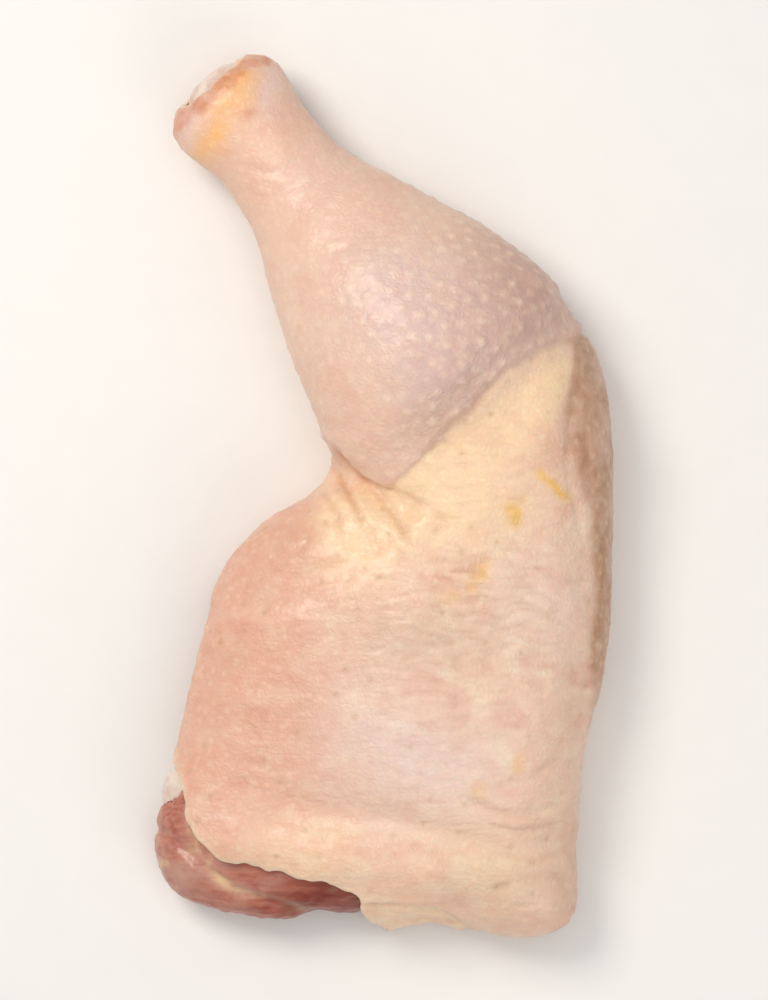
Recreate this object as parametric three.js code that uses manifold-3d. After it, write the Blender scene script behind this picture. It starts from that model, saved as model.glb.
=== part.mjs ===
// A raw chicken leg quarter: drumstick and thigh in one piece, lying on its cut side with the skin up.
// Millimetres, +Z up. Seen from above, the drumstick runs to the upper left (-X, +Y), the knee is on the
// right and the thigh fills the lower half. The skin is one sheet: it wraps the drumstick all round, covers
// the thigh and turns under its edges. The flesh is bare underneath and along the lower left cut. A bone
// end shows at the hock and another at the hip.
import * as THREE from "three";
import { mergeVertices } from "three/addons/utils/BufferGeometryUtils.js";
import Module from "manifold-3d";

// Every plan point below is shifted by this much, so that the origin is under the middle of the whole.
const planShift = { x: -2.74, y: -1.9 };

const skinThickness = 2.3;
const gap = 0.4; // free space between the skin and the flesh, and round each bone
const facet = 5.5; // size of the facets, on the skin and on the flesh alike
const cornerGrid = 0.02; // cut pieces have their corners on a grid of this size
const longestMove = 0.12 * facet; // a corner moves no further than this in one pass onto the surface
const leastSlope = 0.3;
const room = { low: [-72, -122, -14], high: [74, 116, 62] }; // the space that the facets are worked out in
const outOfReach = 80; // above, below and beside everything

// The drumstick, along a straight axis from the hock's end to the end of the calf.
const drumstick = {
  hock: [-36, 99],
  direction: [0.628, -0.778],
  capStart: 85, // the calf ends squarely from here on, with round corners
  capLength: 12,
  hockEnd: 2, // and the hock ends as a dome from here
  hockLength: 10,
  // distance from the hock, half width in plan, half height, height of the axis
  stations: [
    [-6, 15.4, 12.2, 14.4],
    [3, 15.6, 12.6, 14.4],
    [15, 13.8, 12.0, 14.6],
    [28, 14.8, 12.8, 15.6],
    [42, 20.2, 16.4, 17.8],
    [58, 26.8, 20.6, 20.6],
    [74, 31.6, 23.2, 22.6],
    [88, 33.8, 23.0, 22.4],
    [110, 33.8, 22.4, 22.0],
  ],
};

// The thigh's outline in plan, once round from where it runs under the calf.
const thighOutline = [
  [-5, 13], [-15, 3], [-26, -4], [-37, -17], [-43, -38], [-48, -58], [-56, -80], [-51, -96], [-30, -102],
  [-6, -101.5], [18, -101], [36, -106], [48, -102], [50, -80], [52, -60], [57, -42], [58.5, -12], [58, 18],
  [52, 40], [12, 46],
];
const thigh = {
  edgeRound: 17, // how far in from the outline the top goes on rising
  edgeTop: 22, // height of the plateau near the outline
  dome: { x: 14, y: -34, rise: 15, reachX: 46, reachY: 62 },
  kneeRise: { x: 42, y: 24, rise: 8, reach: 26 },
  sag: 2.0, // how far the round underside would reach below the table
  fleshInset: 3.0, // the flesh stays this far inside the skin's outline
};
const bareCorner = { x: -14, y: -66, reachX: 16, reachY: 14, inset: 1.2 }; // to its lower left it doesn't
const flap = { x: 40, y: -92, reach: 26, fleshInset: 11 }; // fat and skin alone, in the lower right corner

// Folds and creases: a plan line, its half width and how deep it presses in (negative swells).
const folds = [
  { line: [[-18, 6], [-9, 7.5], [0, 3], [7, -1]], width: 5.6, depth: 5.4 }, // between calf and thigh
  { line: [[3, 4], [18, 14.5], [36, 28], [50, 40]], width: 6.0, depth: 3.4 }, // along the calf's end
  { line: [[45, 22], [46, 0], [46, -24], [45, -52]], width: 4.6, depth: 2.8 }, // down the thigh's outer side
  { line: [[53, 24], [54, -4], [53, -36]], width: 4.6, depth: -2.2 }, // the roll of skin outside it
  { line: [[-34, -82], [-12, -86], [14, -90]], width: 5.2, depth: -2.2 }, // the swollen lower edge
  { line: [[-20, -73], [6, -77], [32, -83], [44, -82]], width: 5.0, depth: 2.2 },
  { line: [[-30, -22], [-16, -19], [0, -9]], width: 5.0, depth: 1.8 }, // slack below the crease
];

// The flesh underneath is bare inside this outline, which runs out past the thigh on its inner side.
const bareOutline = [
  [-24, -18], [-70, -24], [-76, -70], [-72, -118], [-30, -116], [2, -88],
  [26, -90], [36, -76], [40, -48], [42, -14], [28, -2], [4, -8],
];
const bareTop = 13.5; // the skin's lower edge on the inner side
// The skin stops at this line on the lower left, where the cut flesh shows from above.
const cutLine = [
  [-60, -52], [-47, -64], [-44, -79], [-38, -86], [-28, -88], [-18, -90.5], [-7, -92], [-2, -96], [0, -112],
];
const crease = { skin: 12, flesh: 20 }; // how softly the calf runs into the thigh
const foldBottom = { from: 8, to: 20 }; // folds fade in between these heights
// Grooves between the muscles underneath, fanning out from the hip towards the knee.
const grooves = [
  { line: [[-44, -42], [-20, -36], [8, -24], [30, -8]], width: 6.5, depth: 4.4 },
  { line: [[-52, -70], [-26, -62], [6, -50], [36, -44]], width: 7.0, depth: 5.0 },
  { line: [[-36, -97], [-12, -86], [14, -77], [38, -76]], width: 6.5, depth: 4.0 },
];
const grooveTop = { from: 7, to: 13 }; // grooves fade out between these heights

const shinBone = {
  from: [-36.6, 99.8, 14.4],
  to: [21, 28.4, 22.4],
  shaft: 4.4, // radius in the middle
  knuckle: 5.4, // radius of each of the two round heads at the hock
  spread: 3.6, // how far each stands off the bone's axis
  knee: 8.6,
};
const thighBone = {
  from: [-44, -71, 8.8],
  to: [16, -14, 20],
  shaft: 4.6,
  knuckle: 7.2, // one round head at the hip
  spread: 0,
  knee: 8.4,
};

const hockCut = { skin: -5.5, flesh: -5.0, lean: 10 }; // along the axis, and the degrees that it leans back

const clamp01 = (t) => Math.min(1, Math.max(0, t));
const smooth = (t) => clamp01(t) ** 2 * (3 - 2 * clamp01(t));

function smoothMin(a, b, reach) {
  const h = clamp01(0.5 + (0.5 * (b - a)) / reach);
  return b + (a - b) * h - reach * h * (1 - h);
}

// A smooth curve through plan points, as a list of short steps.
function planCurve(points, closed, steps) {
  const shifted = points.map(([x, y]) => new THREE.Vector3(x + planShift.x, y + planShift.y, 0));
  return new THREE.CatmullRomCurve3(shifted, closed, "centripetal").getPoints(steps);
}

// A closed curve that runs anticlockwise, moved inwards.
function insetOf(curve, distance) {
  const round = curve.length - 1;
  const moved = curve.slice(0, round).map((p, i) => {
    const along = curve[(i + 1) % round].clone().sub(curve[(i + round - 1) % round]).normalize();
    return new THREE.Vector3(p.x - along.y * distance, p.y + along.x * distance, 0);
  });
  return [...moved, moved[0]];
}

// Distance in plan from a point to a curve, and whether a closed curve holds the point.
function planDistance(curve, x, y, closed) {
  let least = Infinity;
  let inside = false;
  for (let i = 0; i + 1 < curve.length; i++) {
    const a = curve[i];
    const b = curve[i + 1];
    const dx = b.x - a.x;
    const dy = b.y - a.y;
    const t = clamp01(((x - a.x) * dx + (y - a.y) * dy) / (dx * dx + dy * dy));
    least = Math.min(least, Math.hypot(x - a.x - t * dx, y - a.y - t * dy));
    if (a.y > y !== b.y > y && x < a.x + ((y - a.y) * dx) / dy) inside = !inside;
  }
  return closed && inside ? -least : least;
}

// Values between a table's rows, eased so that the form has no kinks.
function between(stations, at) {
  let i = 1;
  while (i < stations.length - 1 && stations[i][0] < at) i++;
  const [low, high] = [stations[i - 1], stations[i]];
  const before = stations[Math.max(0, i - 2)];
  const after = stations[Math.min(stations.length - 1, i + 1)];
  const span = high[0] - low[0];
  const t = clamp01((at - low[0]) / span);
  return low.slice(1).map((value, k) => {
    const slopeLow = ((high[k + 1] - before[k + 1]) / (high[0] - before[0])) * span;
    const slopeHigh = ((after[k + 1] - value) / (after[0] - low[0])) * span;
    const t2 = t * t;
    const t3 = t2 * t;
    return (
      (2 * t3 - 3 * t2 + 1) * value + (t3 - 2 * t2 + t) * slopeLow +
      (3 * t2 - 2 * t3) * high[k + 1] + (t3 - t2) * slopeHigh
    );
  });
}

// Distance to an ellipsoid's surface, good close to it.
function ellipsoidDistance(p, radii) {
  const near = Math.hypot(...p.map((v, i) => v / radii[i]));
  const far = Math.hypot(...p.map((v, i) => v / radii[i] ** 2));
  return far < 1e-9 ? -Math.min(...radii) : (near * (near - 1)) / far;
}

function drumstickDistance(x, y, z) {
  const dx = x - planShift.x - drumstick.hock[0];
  const dy = y - planShift.y - drumstick.hock[1];
  const [ux, uy] = drumstick.direction;
  const along = dx * ux + dy * uy;
  const [halfWidth, halfHeight, axisZ] = between(drumstick.stations, along);
  const onLeg = along > drumstick.hockEnd;
  const past = onLeg ? Math.max(0, along - drumstick.capStart) : drumstick.hockEnd - along;
  const capLength = onLeg ? drumstick.capLength : drumstick.hockLength;
  return ellipsoidDistance([dx * uy - dy * ux, z - axisZ, past], [halfWidth, halfHeight, capLength]);
}

const outlineCurve = planCurve(thighOutline, true, 110);
const foldCurves = folds.map((fold) => planCurve(fold.line, false, 14));
const grooveCurves = grooves.map((groove) => planCurve(groove.line, false, 14));

// Height of the thigh's upper side before its edge rounds off.
function thighTop(x, y) {
  const px = x - planShift.x;
  const py = y - planShift.y;
  const { dome, kneeRise } = thigh;
  const onDome = Math.exp(-(((px - dome.x) / dome.reachX) ** 2) - ((py - dome.y) / dome.reachY) ** 2);
  const toKnee = Math.hypot(px - kneeRise.x, py - kneeRise.y) / kneeRise.reach;
  const onKnee = Math.exp(-toKnee * toKnee);
  return thigh.edgeTop + dome.rise * onDome + kneeRise.rise * onKnee;
}

function thighDistance(x, y, z, inset, topInset) {
  const half = (thighTop(x, y) - topInset + thigh.sag) / 2;
  const round = thigh.edgeRound - 0.35 * inset;
  const outward = Math.max(0, planDistance(outlineCurve, x, y, true) + inset + round);
  return ellipsoidDistance([outward, z - half + thigh.sag], [round, half]);
}

// How far the folds press the surface in at a plan point.
function pressed(list, curves, x, y) {
  return list.reduce((sum, item, i) => {
    const away = planDistance(curves[i], x, y, false) / item.width;
    return away > 3 ? sum : sum + item.depth * Math.exp(-away * away);
  }, 0);
}

const fadeIn = (z, { from, to }) => smooth((z - from) / (to - from));

// The leg's outside: negative inside it.
function skinField(x, y, z) {
  const calf = drumstickDistance(x, y, z);
  const body = thighDistance(x, y, z, 0, 0);
  return smoothMin(calf, body, crease.skin) + fadeIn(z, foldBottom) * pressed(folds, foldCurves, x, y);
}

// The flesh under the skin, with the muscles' grooves underneath.
function fleshField(x, y, z) {
  const px = x - planShift.x;
  const py = y - planShift.y;
  const toFlap = Math.hypot(px - flap.x, py - flap.y) / flap.reach;
  const underSkin = thigh.fleshInset + flap.fleshInset * Math.exp(-toFlap * toFlap);
  const beside = smooth((bareCorner.x - px) / bareCorner.reachX);
  const bare = beside * smooth((bareCorner.y - py) / bareCorner.reachY);
  const inset = underSkin * (1 - bare) + bareCorner.inset * bare;
  const calf = drumstickDistance(x, y, z) + skinThickness;
  const body = thighDistance(x, y, z, inset, skinThickness);
  const under = Math.max(smoothMin(calf, body, crease.flesh), skinField(x, y, z) + skinThickness);
  return under + (1 - fadeIn(z, grooveTop)) * pressed(grooves, grooveCurves, x, y);
}

// Downhill direction of a field, of length 1.
function gradient(field, p) {
  const e = 0.05;
  const g = new THREE.Vector3(
    field(p.x + e, p.y, p.z) - field(p.x - e, p.y, p.z),
    field(p.x, p.y + e, p.z) - field(p.x, p.y - e, p.z),
    field(p.x, p.y, p.z + e) - field(p.x, p.y, p.z - e),
  );
  return { slope: g.length() / (2 * e), normal: g.normalize() };
}

const cellCorners = [0, 1, 2, 3, 4, 5, 6, 7].map((c) => [c & 1, (c >> 1) & 1, (c >> 2) & 1]);
const cellFaces = [[0, 1, 3, 2], [4, 5, 7, 6], [0, 1, 5, 4], [2, 3, 7, 6], [0, 2, 6, 4], [1, 3, 7, 5]];
const edgeKey = (a, b) => Math.min(a, b) * 8 + Math.max(a, b);

// The edges that the surface crosses in one cell, in groups: each group is one sheet of the surface.
function sheetsIn(values) {
  const sheetOf = new Map();
  const join = (one, other) => {
    const [from, to] = [sheetOf.get(one) ?? [one], sheetOf.get(other) ?? [other]];
    const all = from === to ? from : [...new Set([...from, ...to])];
    all.forEach((edge) => sheetOf.set(edge, all));
  };
  for (const face of cellFaces) {
    const crossed = face
      .map((corner, i) => [corner, face[(i + 1) % 4]])
      .filter(([a, b]) => values[a] < 0 !== values[b] < 0)
      .map(([a, b]) => edgeKey(a, b));
    if (crossed.length === 2) join(crossed[0], crossed[1]);
    if (crossed.length < 4) continue;
    face.forEach((corner, i) => {
      if (values[corner] < 0) join(edgeKey(corner, face[(i + 1) % 4]), edgeKey(corner, face[(i + 3) % 4]));
    });
  }
  return [...new Set(sheetOf.values())];
}

// The closed surface where a field is zero: one point for each sheet in a cell, moved onto the surface.
function surfaceOf(field) {
  const { low, high } = room;
  const step = facet;
  const count = [0, 1, 2].map((k) => Math.ceil((high[k] - low[k]) / step) + 1);
  const at = (i, j, k) => i + count[0] * (j + count[1] * k);
  const total = count[0] * count[1] * count[2];
  const values = new Float64Array(total);
  for (let k = 0; k < count[2]; k++)
    for (let j = 0; j < count[1]; j++)
      for (let i = 0; i < count[0]; i++)
        values[at(i, j, k)] = field(low[0] + i * step, low[1] + j * step, low[2] + k * step);
  const points = [];
  const pointOf = new Map(); // by cell, and by the end corners of the crossed edge
  for (let k = 0; k + 1 < count[2]; k++)
    for (let j = 0; j + 1 < count[1]; j++)
      for (let i = 0; i + 1 < count[0]; i++) {
        const v = cellCorners.map(([a, b, c]) => values[at(i + a, j + b, k + c)]);
        if (v.every((x) => x < 0) || v.every((x) => x >= 0)) continue;
        for (const sheet of sheetsIn(v)) {
          const point = new THREE.Vector3();
          for (const edge of sheet) {
            const [a, b] = [edge >> 3, edge & 7];
            const from = new THREE.Vector3(...cellCorners[a]);
            point.add(from.lerp(new THREE.Vector3(...cellCorners[b]), v[a] / (v[a] - v[b])));
            pointOf.set(at(i, j, k) * 64 + edge, points.length);
          }
          point.divideScalar(sheet.length).add(new THREE.Vector3(i, j, k)).multiplyScalar(step);
          point.add(new THREE.Vector3(...low));
          for (let pass = 0; pass < 2; pass++) {
            const { slope, normal } = gradient(field, point);
            const move = field(point.x, point.y, point.z) / Math.max(slope, leastSlope);
            point.addScaledVector(normal, THREE.MathUtils.clamp(-move, -longestMove, longestMove));
          }
          points.push(point);
        }
      }
  const triangles = [];
  // The four cells round an edge: each is given by its steps back from the edge's own cell.
  const quad = (i, j, k, axis, rounds, flip) => {
    const corner = rounds.map(([di, dj, dk]) => {
      const start = di + 2 * dj + 4 * dk;
      return pointOf.get(at(i - di, j - dj, k - dk) * 64 + edgeKey(start, start + (1 << axis)));
    });
    const [a, b, c, d] = corner;
    const acrossFirst = points[a].distanceTo(points[c]) <= points[b].distanceTo(points[d]);
    const pair = acrossFirst ? [[a, b, c], [a, c, d]] : [[a, b, d], [b, c, d]];
    for (const [p, q, r] of pair) triangles.push(...(flip ? [p, r, q] : [p, q, r]));
  };
  for (let k = 1; k + 1 < count[2]; k++)
    for (let j = 1; j + 1 < count[1]; j++)
      for (let i = 1; i + 1 < count[0]; i++) {
        const here = values[at(i, j, k)] < 0;
        if (here !== values[at(i + 1, j, k)] < 0)
          quad(i, j, k, 0, [[0, 1, 1], [0, 0, 1], [0, 0, 0], [0, 1, 0]], !here);
        if (here !== values[at(i, j + 1, k)] < 0)
          quad(i, j, k, 1, [[1, 0, 1], [1, 0, 0], [0, 0, 0], [0, 0, 1]], !here);
        if (here !== values[at(i, j, k + 1)] < 0)
          quad(i, j, k, 2, [[1, 1, 0], [0, 1, 0], [0, 0, 0], [1, 0, 0]], !here);
      }
  return { points, triangles };
}

// The same facets, each corner moved out along the mean of its facets' directions.
function grownBy({ points, triangles }, distance) {
  const outward = points.map(() => new THREE.Vector3());
  for (let i = 0; i < triangles.length; i += 3) {
    const [a, b, c] = [0, 1, 2].map((k) => triangles[i + k]);
    const face = points[b].clone().sub(points[a]).cross(points[c].clone().sub(points[a])).normalize();
    for (const corner of [a, b, c]) outward[corner].add(face);
  }
  const moved = points.map((p, i) => p.clone().addScaledVector(outward[i].normalize(), distance));
  return { points: moved, triangles };
}

const wasm = await Module();
wasm.setup();

function solidFrom({ points, triangles }) {
  return new wasm.Manifold(
    new wasm.Mesh({
      numProp: 3,
      vertProperties: new Float32Array(points.flatMap((p) => [p.x, p.y, p.z])),
      triVerts: new Uint32Array(triangles),
    }),
  );
}

function solidFromGeometry(geometry) {
  const bare = geometry.index ? geometry.toNonIndexed() : geometry.clone();
  bare.deleteAttribute("normal");
  bare.deleteAttribute("uv");
  const merged = mergeVertices(bare, 1e-4);
  return new wasm.Manifold(
    new wasm.Mesh({
      numProp: 3,
      vertProperties: new Float32Array(merged.attributes.position.array),
      triVerts: new Uint32Array(merged.index.array),
    }),
  );
}

function geometryFrom(solid) {
  const made = solid.getMesh();
  const geometry = new THREE.BufferGeometry();
  geometry.setAttribute("position", new THREE.BufferAttribute(made.vertProperties.slice(), 3));
  geometry.setIndex(new THREE.BufferAttribute(made.triVerts.slice(), 1));
  const flat = geometry.toNonIndexed();
  flat.computeVertexNormals();
  return flat;
}

// The solid with its corners on a fine grid, without the slivers that cuts leave.
function snapped(solid) {
  const made = solid.getMesh();
  const index = new Map();
  const points = [];
  const cornerOf = [];
  for (let i = 0; i < made.vertProperties.length; i += 3) {
    const at = [0, 1, 2].map((k) => Math.round(made.vertProperties[i + k] / cornerGrid));
    const key = at.join();
    if (!index.has(key)) {
      index.set(key, points.length);
      points.push(new THREE.Vector3(...at).multiplyScalar(cornerGrid));
    }
    cornerOf.push(index.get(key));
  }
  const faces = new Map(); // two faces back to back cancel
  for (let i = 0; i < made.triVerts.length; i += 3) {
    const face = [0, 1, 2].map((k) => cornerOf[made.triVerts[i + k]]);
    if (new Set(face).size < 3) continue;
    const key = [...face].sort((a, b) => a - b).join();
    if (faces.has(key)) faces.delete(key);
    else faces.set(key, face);
  }
  return solidFrom({ points, triangles: [...faces.values()].flat() });
}

// The largest of the pieces that a cut leaves.
function largestOf(solid) {
  return solid.decompose().reduce((best, piece) => (piece.volume() > best.volume() ? piece : best));
}

// Everything below a height.
function below(height) {
  const side = 5 * outOfReach;
  const box = new THREE.BoxGeometry(side, side, outOfReach);
  box.translate(0, 0, height - outOfReach / 2);
  return solidFromGeometry(box);
}

// An upright block of a plan outline.
function upright(curve, bottom, top) {
  const shape = new THREE.Shape(curve.slice(0, -1).map((p) => new THREE.Vector2(p.x, p.y)));
  const block = new THREE.ExtrudeGeometry(shape, { depth: top - bottom, bevelEnabled: false });
  block.translate(0, 0, bottom);
  return solidFromGeometry(block);
}

// Everything past the hock's cut, which leans back so that it faces a little up.
function pastHock(distance) {
  const [ux, uy] = drumstick.direction;
  const block = new THREE.BoxGeometry(outOfReach, outOfReach, outOfReach);
  block.translate(-outOfReach / 2, 0, 0);
  block.rotateY(THREE.MathUtils.degToRad(hockCut.lean));
  block.rotateZ(Math.atan2(uy, ux));
  block.translate(
    drumstick.hock[0] + planShift.x + ux * distance,
    drumstick.hock[1] + planShift.y + uy * distance,
    drumstick.stations[0][3],
  );
  return solidFromGeometry(block);
}

// A long bone: a knuckle, a waisted shaft and a wider knee end, grown by some clearance.
function boneSolid(bone, clearance) {
  const from = new THREE.Vector3(...bone.from).add(new THREE.Vector3(planShift.x, planShift.y, 0));
  const to = new THREE.Vector3(...bone.to).add(new THREE.Vector3(planShift.x, planShift.y, 0));
  const length = from.distanceTo(to);
  const knuckle = bone.knuckle + clearance;
  const shaft = bone.shaft + clearance;
  const knee = bone.knee + clearance;
  const profile = [
    [0, -knuckle], [knuckle * 0.6, -knuckle * 0.8], [knuckle, 0], [knuckle * 0.86, knuckle * 0.8],
    [shaft * 1.12, 17], [shaft, 30], [shaft, length - 30], [shaft * 1.15, length - 18],
    [knee, length - 4], [knee * 0.8, length + 2], [0, length + 4 + clearance],
  ].map(([r, h]) => new THREE.Vector2(r, h));
  const turned = new THREE.LatheGeometry(profile, 14);
  const place = new THREE.Matrix4().compose(
    from,
    new THREE.Quaternion().setFromUnitVectors(new THREE.Vector3(0, 1, 0), to.clone().sub(from).normalize()),
    new THREE.Vector3(1, 1, 1),
  );
  turned.applyMatrix4(place);
  let solid = solidFromGeometry(turned);
  if (bone.spread > 0) {
    const [ux, uy] = drumstick.direction;
    for (const side of [-1, 1]) {
      const half = new THREE.SphereGeometry(knuckle, 14, 9);
      half.scale(1, 1, 0.94);
      half.translate(from.x - side * uy * bone.spread, from.y + side * ux * bone.spread, from.z);
      solid = solid.add(solidFromGeometry(half));
    }
  }
  return solid;
}

// The flesh's own surface, and the same facets moved out by the gap, which the skin is hollowed with.
function fleshSolids() {
  const surface = surfaceOf(fleshField);
  const grown = grownBy(surface, gap);
  const bareCurve = planCurve(bareOutline, true, 90);
  const innerBare = upright(insetOf(bareCurve, 2 * gap), -outOfReach, outOfReach);
  const flesh = solidFrom(surface);
  const hollow = solidFrom(grown);
  return {
    flesh: flesh.subtract(below(skinThickness)).add(flesh.intersect(innerBare).subtract(below(0))),
    hollow: hollow.subtract(below(skinThickness - gap)),
    bareBlock: upright(bareCurve, -outOfReach, bareTop),
  };
}

function buildSolids() {
  const outside = solidFrom(surfaceOf(skinField));
  const { flesh, hollow, bareBlock } = fleshSolids();
  const rim = planCurve(cutLine, false, 40);
  const cornerOutside = new THREE.Vector3(rim[0].x - outOfReach, rim.at(-1).y - outOfReach, 0);
  const cutBlock = upright([...rim, cornerOutside, rim[0]], -outOfReach, outOfReach);
  const skin = outside
    .subtract(hollow)
    .subtract(bareBlock)
    .subtract(cutBlock)
    .subtract(below(0))
    .subtract(pastHock(hockCut.skin));
  const shinHole = boneSolid(shinBone, gap);
  const thighHole = boneSolid(thighBone, gap);
  const meat = flesh.subtract(pastHock(hockCut.flesh)).subtract(shinHole).subtract(thighHole);
  return {
    skin: snapped(largestOf(skin.subtract(shinHole).subtract(thighHole))),
    flesh: snapped(largestOf(meat)),
    shin_bone: snapped(boneSolid(shinBone, 0)),
    thigh_bone: snapped(boneSolid(thighBone, 0)),
  };
}

const finishes = {
  skin: { color: 0xe9c9b2, roughness: 0.42 },
  flesh: { color: 0xb4635a, roughness: 0.35 },
  shin_bone: { color: 0xeadfd2, roughness: 0.3 },
  thigh_bone: { color: 0xe6dcd6, roughness: 0.3 },
};

const legQuarter = new THREE.Group();
for (const [name, solid] of Object.entries(buildSolids())) {
  const mesh = new THREE.Mesh(
    geometryFrom(solid),
    new THREE.MeshStandardMaterial({ ...finishes[name], metalness: 0 }),
  );
  mesh.name = name;
  legQuarter.add(mesh);
}

export default legQuarter;
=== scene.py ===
# A raw chicken leg quarter on a pale table, skin side up, seen from straight above.
# Its shape is worked out as distances in millimetres on a grid, meshed, and then carved in detail.
import math

import bpy
import numpy as np
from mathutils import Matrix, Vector
from mathutils.kdtree import KDTree


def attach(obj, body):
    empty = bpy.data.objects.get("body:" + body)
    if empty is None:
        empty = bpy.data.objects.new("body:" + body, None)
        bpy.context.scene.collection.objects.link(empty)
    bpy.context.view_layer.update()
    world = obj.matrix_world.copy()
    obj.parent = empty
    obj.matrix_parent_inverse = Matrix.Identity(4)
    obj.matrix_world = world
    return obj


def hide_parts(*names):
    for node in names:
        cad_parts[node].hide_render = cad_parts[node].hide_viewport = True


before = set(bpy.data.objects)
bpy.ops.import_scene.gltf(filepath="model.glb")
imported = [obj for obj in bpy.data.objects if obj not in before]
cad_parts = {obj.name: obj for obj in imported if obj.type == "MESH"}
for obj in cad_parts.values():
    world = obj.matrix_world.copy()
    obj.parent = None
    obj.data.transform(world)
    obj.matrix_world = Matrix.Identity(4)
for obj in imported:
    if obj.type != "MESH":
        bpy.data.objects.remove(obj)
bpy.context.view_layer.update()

mm = 0.001
planShift = np.array([-2.74, -1.9])  # plan points below are shifted by this, as the solids are
scene = bpy.context.scene
scene.view_settings.view_transform = "Standard"  # raw poultry's pale tones stay as they were mixed

# What a photographer would change
studio = {
    "lens": 200.0,
    "height": 1.37,  # camera above the table, metres
    "aim": (0.0, -0.001),
    "table": "#f3f1ee",
    "tableHalf": 2.0,
    "tableGrain": 0.0025,
    "key": {"at": (-0.40, 0.36, 0.74), "size": 0.40, "watts": 4.15, "tint": "#fff8f0"},
    "fill": {"at": (0.38, -0.50, 0.52), "size": 0.70, "watts": 1.65, "tint": "#fdfaf6"},
    "top": {"at": (0.0, 0.16, 1.68), "size": 1.30, "watts": 5.6, "tint": "#ffffff"},
    "sky": 0.37,
}


def linearColour(hexValue):
    shares = [int(hexValue[i : i + 2], 16) / 255 for i in (1, 3, 5)]
    return tuple([s / 12.92 if s <= 0.04045 else ((s + 0.055) / 1.055) ** 2.4 for s in shares] + [1.0])


# Inputs are set or linked by name or place: a Map Range has its value at 0, its range at 1 and 2 and the
# new one at 3 and 4, and a colour Mix its share at 0, its colours at 6 and 7 and its result at 2.
def addNode(tree, kind, inputs=None, **settings):
    node = tree.nodes.new("ShaderNode" + kind)
    for name, value in settings.items():
        setattr(node, name, value)
    for socket, value in (inputs or {}).items():
        if isinstance(value, bpy.types.NodeSocket):
            tree.links.new(value, node.inputs[socket])
        else:
            node.inputs[socket].default_value = value
    return node


def newMaterial(name):
    material = bpy.data.materials.new(name)
    material.use_nodes = True
    material.node_tree.nodes.clear()
    return material, material.node_tree


def setStudio():
    camera = bpy.data.objects.new("camera", bpy.data.cameras.new("camera"))
    camera.data.lens = studio["lens"]
    camera.data.clip_start = 0.01
    camera.location = (*studio["aim"], studio["height"])
    scene.collection.objects.link(camera)
    scene.camera = camera
    for name in ("key", "fill", "top"):
        light = studio[name]
        lamp = bpy.data.lights.new(name, "AREA")
        lamp.shape = "DISK"
        lamp.size = light["size"]
        lamp.energy = light["watts"]
        lamp.color = linearColour(light["tint"])[:3]
        placed = bpy.data.objects.new(name, lamp)
        placed.location = light["at"]
        placed.rotation_euler = (-Vector(light["at"])).to_track_quat("-Z", "Y").to_euler()
        scene.collection.objects.link(placed)
    world = bpy.data.worlds.new("studio")
    world.use_nodes = True
    sky = world.node_tree.nodes["Background"]
    sky.inputs["Color"].default_value = (1, 1, 1, 1)
    sky.inputs["Strength"].default_value = studio["sky"]
    scene.world = world


def layTable():
    # matt laminate: pale, even, a faint broad sheen
    material, tree = newMaterial("paleTable")
    grain = addNode(tree, "TexNoise", {"Scale": 1 / studio["tableGrain"], "Detail": 2.0})
    tone = addNode(tree, "MapRange", {0: grain.outputs[0], 3: 0.97, 4: 1.0})
    toned = {0: tone.outputs[0], 6: (0, 0, 0, 1), 7: linearColour(studio["table"])}
    colour = addNode(tree, "Mix", toned, data_type="RGBA")
    shader = addNode(tree, "BsdfPrincipled", {"Base Color": colour.outputs[2], "Roughness": 0.6})
    addNode(tree, "OutputMaterial", {0: shader.outputs[0]})
    half = studio["tableHalf"]
    corners = [(-half, -half, 0), (half, -half, 0), (half, half, 0), (-half, half, 0)]
    mesh = bpy.data.meshes.new("table")
    mesh.from_pydata(corners, [], [(0, 1, 2, 3)])
    table = bpy.data.objects.new("table", mesh)
    table.location.z = -0.0002  # just clear of the leg
    mesh.materials.append(material)
    scene.collection.objects.link(table)


setStudio()
layTable()
print("studio: camera, lights and table")


# Small tools for shapes in millimetres


def easeStep(t):
    t = np.clip(t, 0, 1)
    return t * t * (3 - 2 * t)


def ramp(value, start, over):  # 0 at the start, easing to 1 once the value is `over` past it, up or down
    return easeStep((value - start) / over)


def softMin(a, b, reach):
    h = np.clip(0.5 + 0.5 * (b - a) / reach, 0, 1)
    return b + (a - b) * h - reach * h * (1 - h)


def softMax(a, b, reach):
    return -softMin(-a, -b, reach)


def bell(value, at, reach):  # 1 where the value is right, fading to 0 over about the reach
    return np.exp(-(((value - at) / reach) ** 2))


def hill(px, py, x, y, reachX, reachY):  # the same in plan
    return np.exp(-(((px - x) / reachX) ** 2) - ((py - y) / reachY) ** 2)


def curveThrough(points, closed=False, steps=60):
    given = np.array(points, float) + planShift
    count = len(given)
    spans = count if closed else count - 1
    curve = []
    for place in np.linspace(0, spans, steps + 1):
        i = min(int(place), spans - 1)
        p1, p2 = given[i], given[(i + 1) % count]
        p0 = given[i - 1] if closed or i > 0 else 2 * p1 - p2
        p3 = given[(i + 2) % count] if closed or i + 2 < count else 2 * p2 - p1
        d0, d1, d2 = (max(np.linalg.norm(b - a), 1e-4) ** 0.5 for a, b in ((p0, p1), (p1, p2), (p2, p3)))
        m1 = ((p1 - p0) / d0 - (p2 - p0) / (d0 + d1) + (p2 - p1) / d1) * d1
        m2 = ((p2 - p1) / d1 - (p3 - p1) / (d1 + d2) + (p3 - p2) / d2) * d1
        t = place - i
        curve.append(
            (2 * t**3 - 3 * t**2 + 1) * p1 + (t**3 - 2 * t**2 + t) * m1 + (3 * t**2 - 2 * t**3) * p2
            + (t**3 - t**2) * m2
        )
    return np.array(curve)


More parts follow.
